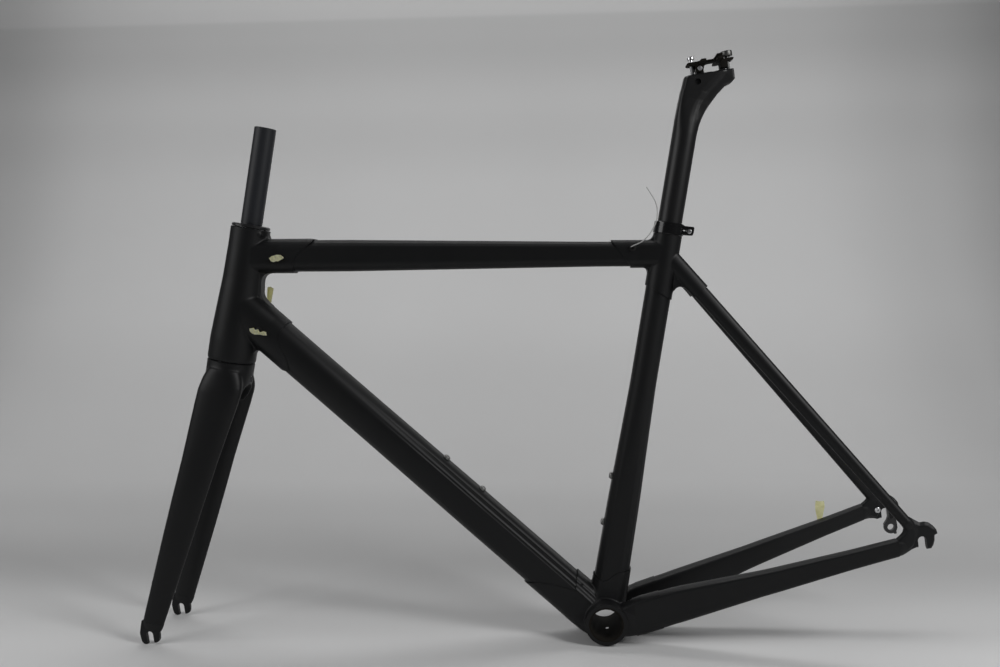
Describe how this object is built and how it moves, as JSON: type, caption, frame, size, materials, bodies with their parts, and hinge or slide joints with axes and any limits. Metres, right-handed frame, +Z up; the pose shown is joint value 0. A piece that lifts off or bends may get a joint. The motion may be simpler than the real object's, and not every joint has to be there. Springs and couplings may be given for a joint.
{
  "type": "bicycle frameset",
  "caption": "Lugged carbon road bicycle frame with its fork, headset, seatpost and saddle clamp, for building into a bicycle.",
  "frame": {"origin": "middle of the bottom bracket bore", "axes": "+X rearwards, +Y to the drive side along the bottom bracket axis, +Z up as the frame stands on its fork tips and bottom bracket shell"},
  "size_m": [1.0307, 0.153, 0.7735],
  "materials": {
    "satin_black": "satin black lacquer over carbon composite",
    "bare_composite": "bare sanded carbon composite",
    "black_alloy": "black anodised",
    "raw_alloy": "machined",
    "bright_steel": "bright fasteners",
    "bearing_steel": "ground and polished",
    "black_plastic": "moulded black",
    "tape": "pale yellow paper tape",
    "wire": "pale grey guide wire"
  },
  "bodies": {
    "frame": {"head_lug": "satin_black", "top_tube": "satin_black", "down_tube": "satin_black", "seat_lug": "satin_black", "seat_tube": "satin_black", "bb_lug": "satin_black", "bb_sleeve": "black_alloy", "left_chainstay": "satin_black", "right_chainstay": "satin_black", "left_seatstay": "satin_black", "right_seatstay": "satin_black", "brake_bridge": "satin_black", "left_dropout": "satin_black", "right_dropout": "satin_black", "derailleur_hanger": "black_alloy", "hanger_bolts": "bright_steel", "bottle_inserts": "bright_steel", "bottle_bolts": "bright_steel", "bb_cable_guide": "black_plastic", "bb_guide_screw": "bright_steel", "cable_ports": "black_plastic", "tape_flags": "tape", "guide_wire": "wire", "seat_collar": "black_alloy", "collar_bolt": "bright_steel", "collar_nut": "bright_steel", "upper_outer_race": "bearing_steel", "lower_outer_race": "bearing_steel"},
    "fork": {"steerer": "bare_composite", "fork_crown": "satin_black", "crown_brake_sleeve": "raw_alloy", "left_fork_blade": "satin_black", "right_fork_blade": "satin_black", "left_fork_tip": "satin_black", "right_fork_tip": "satin_black", "crown_race": "bearing_steel", "lower_inner_race": "bearing_steel", "upper_inner_race": "bearing_steel", "compression_ring": "raw_alloy", "headset_cover": "black_alloy"},
    "upper_ball_set": {"upper_balls": "bearing_steel"},
    "lower_ball_set": {"lower_balls": "bearing_steel"},
    "seatpost": {"seatpost": "satin_black"},
    "saddle_clamp": {"lower_cradle": "black_alloy", "cradle_pin": "bright_steel", "upper_clamp": "black_alloy", "front_clamp_bolt": "bright_steel", "rear_clamp_bolt": "bright_steel", "clamp_barrel_nuts": "bright_steel"}
  },
  "joints": [
    {"name": "steering", "type": "hinge", "parent": "frame", "child": "fork", "pos_m": [-0.50466, 0, 0.34794], "axis": [0.1783, 0, 0.984], "continuous": true},
    {"name": "upper_ball_turn", "type": "hinge", "parent": "frame", "child": "upper_ball_set", "pos_m": [-0.50466, 0, 0.34794], "axis": [0.1783, 0, 0.984], "continuous": true},
    {"name": "lower_ball_turn", "type": "hinge", "parent": "frame", "child": "lower_ball_set", "pos_m": [-0.50466, 0, 0.34794], "axis": [0.1783, 0, 0.984], "continuous": true},
    {"name": "seat_height", "type": "slide", "parent": "frame", "child": "seatpost", "axis": [0.1611, 0, 0.9869], "range_m": [-0.1, 0.08]},
    {"name": "saddle_tilt", "type": "hinge", "parent": "seatpost", "child": "saddle_clamp", "pos_m": [0.12272, 0, 0.721], "axis": [0, 1, 0], "range_deg": [-4, 2]}
  ],
  "couplings": [
    {"joint": "upper_ball_turn", "follows": "steering", "ratio": 0.4514},
    {"joint": "lower_ball_turn", "follows": "steering", "ratio": 0.4565}
  ]
}
